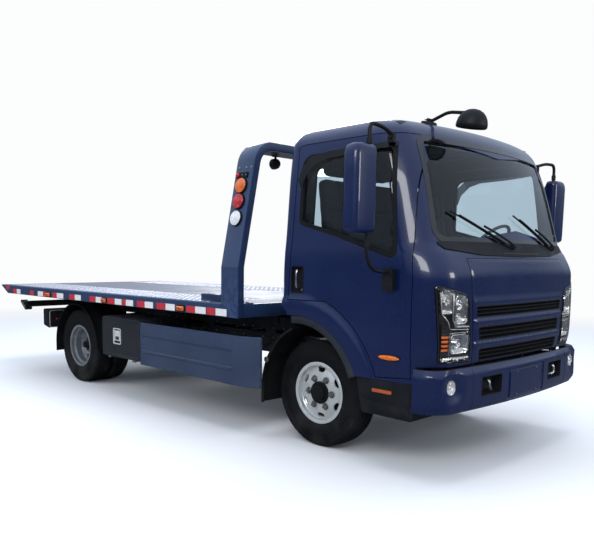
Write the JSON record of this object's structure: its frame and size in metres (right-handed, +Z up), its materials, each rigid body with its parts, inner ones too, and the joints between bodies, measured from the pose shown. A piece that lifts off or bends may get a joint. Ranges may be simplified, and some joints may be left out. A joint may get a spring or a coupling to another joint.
{
  "type": "flatbed recovery truck",
  "caption": "Light flatbed recovery truck with a forward-control cab that tips, twin rear wheels, and a bed that tilts and slides back behind a bent arch.",
  "frame": {"origin": "on the ground, under the middle of the overall length, on the centreline", "axes": "+X forward, +Y to the driver's left, +Z up"},
  "size_m": [5.9948, 2.794, 2.3014],
  "materials": {
    "cab_blue": "gloss clear-coated paint",
    "bed_blue": "semi-gloss paint",
    "guard_blue": "satin paint",
    "chassis_black": "satin chassis paint",
    "axle_black": "painted casting",
    "engine_grey": "cast block",
    "wheel_silver": "silver wheel paint",
    "tyre_rubber": "tyre rubber",
    "trim_black": "grained plastic",
    "lamp_glass": "clear moulded lens",
    "arch_lamp": "moulded coloured lens",
    "window_glass": "clear tinted glass",
    "deck_plate": "bright chequer plate",
    "cylinder_black": "painted tube",
    "rod_chrome": "hard chrome",
    "toolbox_grey": "textured powder coat",
    "seat_fabric": "woven cloth",
    "cabin_trim": "moulded trim",
    "mirror_blue": "painted shell"
  },
  "bodies": {
    "chassis": {"chassis_frame": "chassis_black", "front_axle": "axle_black", "rear_axle": "axle_black", "leaf_springs": "axle_black", "engine": "engine_grey", "driveline": "axle_black", "exhaust": "cylinder_black", "fuel_tank": "chassis_black", "front_bumper": "cab_blue", "fog_lamps": "lamp_glass", "cab_steps": "trim_black", "mudguards": "trim_black", "side_guards": "guard_blue", "toolboxes": "toolbox_grey", "rear_lamp_boxes": "trim_black"},
    "knuckle_right": {"knuckle_right": "axle_black"},
    "knuckle_left": {"knuckle_left": "axle_black"},
    "track_rod": {"track_rod": "axle_black"},
    "front_wheel_right": {"front_wheel_right": "wheel_silver", "front_tyre_right": "tyre_rubber"},
    "front_wheel_left": {"front_wheel_left": "wheel_silver", "front_tyre_left": "tyre_rubber"},
    "rear_wheels_right": {"rear_wheels_right": "wheel_silver", "rear_tyres_right": "tyre_rubber"},
    "rear_wheels_left": {"rear_wheels_left": "wheel_silver", "rear_tyres_left": "tyre_rubber"},
    "toolbox_door_right": {"toolbox_door_right": "toolbox_grey"},
    "toolbox_door_left": {"toolbox_door_left": "toolbox_grey"},
    "tilt_frame": {"tilt_frame": "chassis_black", "slide_cylinder": "cylinder_black"},
    "tilt_barrels": {"tilt_barrels": "cylinder_black"},
    "tilt_rods": {"tilt_rods": "rod_chrome"},
    "underlift_boom": {"underlift_boom": "chassis_black"},
    "underlift_bar": {"underlift_bar": "chassis_black"},
    "bed": {"bed_frame": "bed_blue", "deck": "deck_plate", "bed_arch": "bed_blue", "bed_arch_lamps": "arch_lamp", "winch": "chassis_black", "slide_rod": "rod_chrome"},
    "winch_drum": {"winch_drum": "chassis_black"},
    "cab": {"cab_shell": "cab_blue", "front_panel": "cab_blue", "grilles": "trim_black", "headlamps": "lamp_glass", "cab_glass": "window_glass", "arch_liners": "trim_black", "roof_mirror": "trim_black", "seats": "seat_fabric", "dashboard": "cabin_trim"},
    "steering_wheel": {"steering_wheel": "cabin_trim"},
    "door_right": {"door_right": "cab_blue", "door_glass_right": "window_glass", "mirror_right": "mirror_blue"},
    "door_left": {"door_left": "cab_blue", "door_glass_left": "window_glass", "mirror_left": "mirror_blue"}
  },
  "joints": [
    {"name": "steer_left", "type": "hinge", "parent": "chassis", "child": "knuckle_left", "pos_m": [1.8795, 0.64, 0.388], "axis": [0, 0, 1], "range_deg": [-34, 34]},
    {"name": "steer_right", "type": "hinge", "parent": "chassis", "child": "knuckle_right", "pos_m": [1.8795, -0.64, 0.388], "axis": [0, 0, 1], "range_deg": [-34, 34]},
    {"name": "track_rod_swing", "type": "hinge", "parent": "knuckle_left", "child": "track_rod", "pos_m": [1.7095, 0.64, 0.388], "axis": [0, 0, 1], "range_deg": [-34, 34]},
    {"name": "front_wheel_right_spin", "type": "hinge", "parent": "knuckle_right", "child": "front_wheel_right", "pos_m": [1.8795, -0.775, 0.388], "axis": [0, 1, 0], "continuous": true},
    {"name": "front_wheel_left_spin", "type": "hinge", "parent": "knuckle_left", "child": "front_wheel_left", "pos_m": [1.8795, 0.775, 0.388], "axis": [0, 1, 0], "continuous": true},
    {"name": "rear_wheels_right_spin", "type": "hinge", "parent": "chassis", "child": "rear_wheels_right", "pos_m": [-1.4805, -0.744, 0.388], "axis": [0, 1, 0], "continuous": true},
    {"name": "rear_wheels_left_spin", "type": "hinge", "parent": "chassis", "child": "rear_wheels_left", "pos_m": [-1.4805, 0.744, 0.388], "axis": [0, 1, 0], "continuous": true},
    {"name": "cab_tilt", "type": "hinge", "parent": "chassis", "child": "cab", "pos_m": [2.8395, 0, 0.76], "axis": [0, 1, 0], "range_deg": [0, 45]},
    {"name": "door_right_swing", "type": "hinge", "parent": "cab", "child": "door_right", "pos_m": [2.7415, -0.999, 1.15], "axis": [0, 0, 1], "range_deg": [0, 68]},
    {"name": "door_left_swing", "type": "hinge", "parent": "cab", "child": "door_left", "pos_m": [2.7415, 0.999, 1.15], "axis": [0, 0, -1], "range_deg": [0, 68]},
    {"name": "steering_wheel_turn", "type": "hinge", "parent": "cab", "child": "steering_wheel", "pos_m": [2.3995, 0.5, 1.452], "axis": [0.7431, 0, -0.6691], "range_deg": [-540, 540]},
    {"name": "toolbox_door_right_swing", "type": "hinge", "parent": "chassis", "child": "toolbox_door_right", "pos_m": [-0.3755, -1.096, 0.389], "axis": [1, 0, 0], "range_deg": [0, 95]},
    {"name": "toolbox_door_left_swing", "type": "hinge", "parent": "chassis", "child": "toolbox_door_left", "pos_m": [-0.3755, 1.096, 0.389], "axis": [-1, 0, 0], "range_deg": [0, 95]},
    {"name": "bed_tilt", "type": "hinge", "parent": "chassis", "child": "tilt_frame", "pos_m": [-2.1505, 0, 0.78], "axis": [0, -1, 0], "range_deg": [0, 14]},
    {"name": "bed_slide", "type": "slide", "parent": "tilt_frame", "child": "bed", "axis": [-1, 0, 0], "range_m": [0, 2.8]},
    {"name": "winch_drum_turn", "type": "hinge", "parent": "bed", "child": "winch_drum", "pos_m": [1.0595, 0, 1.09], "axis": [0, 1, 0], "continuous": true},
    {"name": "underlift_lower", "type": "hinge", "parent": "tilt_frame", "child": "underlift_boom", "pos_m": [-2.4105, 0, 0.738], "axis": [0, -1, 0], "range_deg": [0, 12]},
    {"name": "underlift_extend", "type": "slide", "parent": "underlift_boom", "child": "underlift_bar", "axis": [-1, 0, 0], "range_m": [0, 0.18]},
    {"name": "tilt_barrels_swing", "type": "hinge", "parent": "chassis", "child": "tilt_barrels", "pos_m": [-0.4205, 0, 0.59], "axis": [0, -1, 0], "range_deg": [0, 36.76]},
    {"name": "tilt_rods_extend", "type": "slide", "parent": "tilt_barrels", "child": "tilt_rods", "axis": [0.9897, 0, 0.1435], "range_m": [0, 0.2352]}
  ],
  "couplings": [
    {"joint": "steer_right", "follows": "steer_left", "ratio": 1},
    {"joint": "track_rod_swing", "follows": "steer_left", "ratio": -1},
    {"joint": "steering_wheel_turn", "follows": "steer_left", "ratio": -15},
    {"joint": "tilt_barrels_swing", "follows": "bed_tilt", "ratio": 2.5903},
    {"joint": "tilt_rods_extend", "follows": "bed_tilt", "m_per_rad": 0.95458}
  ]
}
